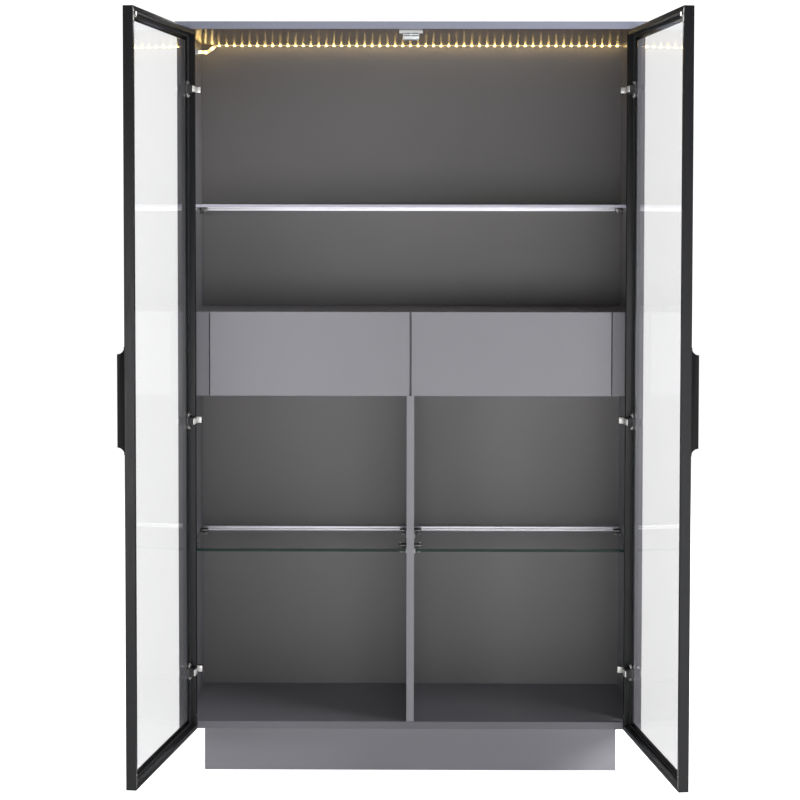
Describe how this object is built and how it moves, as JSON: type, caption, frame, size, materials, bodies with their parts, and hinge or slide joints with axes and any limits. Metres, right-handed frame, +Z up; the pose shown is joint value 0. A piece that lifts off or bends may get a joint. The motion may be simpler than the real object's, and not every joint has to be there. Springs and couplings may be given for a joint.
{
  "type": "china cabinet",
  "caption": "Tall two-door glazed display cabinet on a recessed plinth, with glass shelves, a tier of handleless drawers and a strip light under the top.",
  "frame": {"origin": "on the floor, under the middle of the carcass, on the underside of the plinth's centre brace", "axes": "+X to the right seen from the front, +Y towards the wall, +Z up"},
  "size_m": [1.1036, 0.8941, 1.618],
  "materials": {
    "laminate": "satin grey laminate",
    "back_board": "satin grey laminate on thin board",
    "drawer_board": "light grey laminate",
    "shelf_glass": "polished clear glass with green edges",
    "door_glass": "polished clear glass",
    "satin_aluminium": "satin anodised",
    "black_aluminium": "black anodised, fine satin",
    "black_handle": "black, satin",
    "rubber": "matte black",
    "nickel": "nickel plated",
    "zinc_steel": "zinc plated",
    "white_plastic": "white moulded",
    "magnet_steel": "pole plates",
    "led_emitter": "warm white light chip"
  },
  "bodies": {
    "carcass": {"back_panel": "back_board", "bay_divider": "laminate", "bottom_panel": "laminate", "catch_housing": "white_plastic", "catch_magnets": "magnet_steel", "drawer_divider": "laminate", "filler_strips": "laminate", "hinge_arms_left": "nickel", "hinge_arms_right": "nickel", "hinge_plate_screws": "zinc_steel", "led_chips": "led_emitter", "led_connector": "white_plastic", "led_tape": "white_plastic", "lower_deck": "laminate", "plinth_brace": "laminate", "plinth_front": "laminate", "plinth_rear": "laminate", "plinth_sides": "laminate", "runner_boards": "laminate", "runner_outers": "zinc_steel", "shelf_glass_lower_left": "shelf_glass", "shelf_glass_lower_right": "shelf_glass", "shelf_glass_upper": "shelf_glass", "shelf_rail_upper": "satin_aluminium", "shelf_rails_lower": "satin_aluminium", "shelf_supports_lower": "nickel", "shelf_supports_upper": "nickel", "side_panel_left": "laminate", "side_panel_right": "laminate", "top_panel": "laminate", "upper_deck": "laminate"},
    "hinge_links_left": {"hinge_links_left": "nickel"},
    "hinge_links_right": {"hinge_links_right": "nickel"},
    "door_left": {"door_left_fixings": "zinc_steel", "door_left_gasket": "rubber", "door_left_glass": "door_glass", "door_left_handle": "black_handle", "door_left_hinge_cups": "nickel", "door_left_rails": "black_aluminium", "door_left_stiles": "black_aluminium"},
    "door_right": {"door_right_fixings": "zinc_steel", "door_right_gasket": "rubber", "door_right_glass": "door_glass", "door_right_handle": "black_handle", "door_right_hinge_cups": "nickel", "door_right_rails": "black_aluminium", "door_right_stiles": "black_aluminium"},
    "runner_middles_left": {"drawer_left_runner_middles": "zinc_steel"},
    "runner_middles_right": {"drawer_right_runner_middles": "zinc_steel"},
    "drawer_left": {"drawer_left_bottom": "back_board", "drawer_left_front": "laminate", "drawer_left_runner_inners": "zinc_steel", "drawer_left_walls": "drawer_board"},
    "drawer_right": {"drawer_right_bottom": "back_board", "drawer_right_front": "laminate", "drawer_right_runner_inners": "zinc_steel", "drawer_right_walls": "drawer_board"}
  },
  "joints": [
    {"name": "door_left_swing", "type": "hinge", "parent": "hinge_links_left", "child": "door_left", "pos_m": [-0.4682, -0.20815, 0.8525], "axis": [0, 0, -1], "range_deg": [-97.5, 12.5]},
    {"name": "door_left_link_travel", "type": "slide", "parent": "carcass", "child": "hinge_links_left", "axis": [0.9952, 0.0983, 0], "range_m": [-0.02402, 0.00317]},
    {"name": "door_right_swing", "type": "hinge", "parent": "hinge_links_right", "child": "door_right", "pos_m": [0.4682, -0.20815, 0.8525], "axis": [0, 0, 1], "range_deg": [-96.5, 13.5]},
    {"name": "door_right_link_travel", "type": "slide", "parent": "carcass", "child": "hinge_links_right", "axis": [-0.9952, 0.0983, 0], "range_m": [-0.02402, 0.00345]},
    {"name": "drawer_left_runner_travel", "type": "slide", "parent": "carcass", "child": "runner_middles_left", "axis": [0, -1, 0], "range_m": [0, 0.13]},
    {"name": "drawer_left_pull", "type": "slide", "parent": "runner_middles_left", "child": "drawer_left", "axis": [0, -1, 0], "range_m": [0, 0.13]},
    {"name": "drawer_right_runner_travel", "type": "slide", "parent": "carcass", "child": "runner_middles_right", "axis": [0, -1, 0], "range_m": [0, 0.13]},
    {"name": "drawer_right_pull", "type": "slide", "parent": "runner_middles_right", "child": "drawer_right", "axis": [0, -1, 0], "range_m": [0, 0.13]}
  ],
  "couplings": [
    {"joint": "door_left_link_travel", "follows": "door_left_swing", "m_per_rad": 0.014054},
    {"joint": "door_right_link_travel", "follows": "door_right_swing", "m_per_rad": 0.0142}
  ]
}
